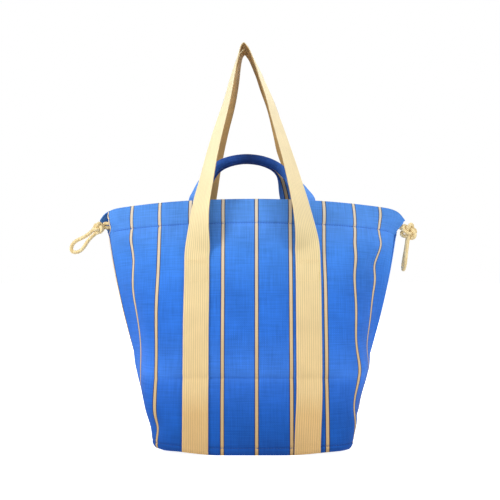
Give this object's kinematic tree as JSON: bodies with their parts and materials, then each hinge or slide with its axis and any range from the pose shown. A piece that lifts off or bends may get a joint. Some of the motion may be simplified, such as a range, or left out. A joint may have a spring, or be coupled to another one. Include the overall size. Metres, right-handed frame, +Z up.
{
  "type": "drawstring tote bag",
  "caption": "Soft boxed canvas tote with a drawstring hem, long webbing shoulder straps, short rolled grab handles and knotted cord pulls.",
  "frame": {"origin": "middle of the base, on the surface it stands on", "axes": "+X along the width of the mouth, +Y through the depth from the front to the back, +Z up"},
  "size_m": [0.5449, 0.223, 0.609],
  "materials": {
    "striped_canvas": "plain woven cotton canvas, sand pinstripes",
    "seam_binding": "folded woven tape",
    "strap_webbing": "ribbed cotton webbing",
    "cotton_cord": "braided cotton cord",
    "handle_core": "braided filler cord"
  },
  "bodies": {
    "bag": {"front_panel": "striped_canvas", "back_panel": "striped_canvas", "base_panel": "striped_canvas", "front_casing": "striped_canvas", "back_casing": "striped_canvas", "left_seam_binding": "seam_binding", "right_seam_binding": "seam_binding", "base_seam_binding": "seam_binding", "front_strap_sewn_left": "strap_webbing", "front_strap_sewn_right": "strap_webbing", "back_strap_sewn_left": "strap_webbing", "back_strap_sewn_right": "strap_webbing", "front_handle_tab_left": "striped_canvas", "front_handle_tab_right": "striped_canvas", "back_handle_tab_left": "striped_canvas", "back_handle_tab_right": "striped_canvas", "drawstring_front": "cotton_cord", "drawstring_back": "cotton_cord"},
    "front_strap": {"front_strap_loop": "strap_webbing"},
    "back_strap": {"back_strap_loop": "strap_webbing"},
    "front_handle": {"front_handle_leg_left": "striped_canvas", "front_handle_leg_right": "striped_canvas", "front_handle_grip": "striped_canvas", "front_handle_core": "handle_core"},
    "back_handle": {"back_handle_leg_left": "striped_canvas", "back_handle_leg_right": "striped_canvas", "back_handle_grip": "striped_canvas", "back_handle_core": "handle_core"},
    "left_pull": {"left_cord_neck": "cotton_cord", "left_knot": "cotton_cord"},
    "right_pull": {"right_cord_neck": "cotton_cord", "right_knot": "cotton_cord"},
    "left_pull_loop": {"left_loop": "cotton_cord"},
    "right_pull_loop": {"right_loop": "cotton_cord"}
  },
  "joints": [
    {"name": "front_strap_fold", "type": "hinge", "parent": "bag", "child": "front_strap", "pos_m": [0, -0.0766, 0.2924], "axis": [1, 0, 0], "range_deg": [0, 145]},
    {"name": "back_strap_fold", "type": "hinge", "parent": "bag", "child": "back_strap", "pos_m": [0, 0.0766, 0.2924], "axis": [-1, 0, 0], "range_deg": [0, 145]},
    {"name": "front_handle_tilt", "type": "hinge", "parent": "bag", "child": "front_handle", "pos_m": [0, -0.0455, 0.3675], "axis": [1, 0, 0], "range_deg": [0, 20]},
    {"name": "back_handle_tilt", "type": "hinge", "parent": "bag", "child": "back_handle", "pos_m": [0, 0.0455, 0.3675], "axis": [-1, 0, 0], "range_deg": [0, 20]},
    {"name": "left_cord_pull", "type": "slide", "parent": "bag", "child": "left_pull", "axis": [-1, 0, 0], "range_m": [0, 0.06]},
    {"name": "right_cord_pull", "type": "slide", "parent": "bag", "child": "right_pull", "axis": [1, 0, 0], "range_m": [0, 0.06]},
    {"name": "left_loop_swing", "type": "hinge", "parent": "left_pull", "child": "left_pull_loop", "pos_m": [-0.2435, 0, 0.33], "axis": [0, 1, 0], "range_deg": [-45, 80]},
    {"name": "right_loop_swing", "type": "hinge", "parent": "right_pull", "child": "right_pull_loop", "pos_m": [0.245, 0, 0.325], "axis": [0, -1, 0], "range_deg": [-6, 110]}
  ]
}
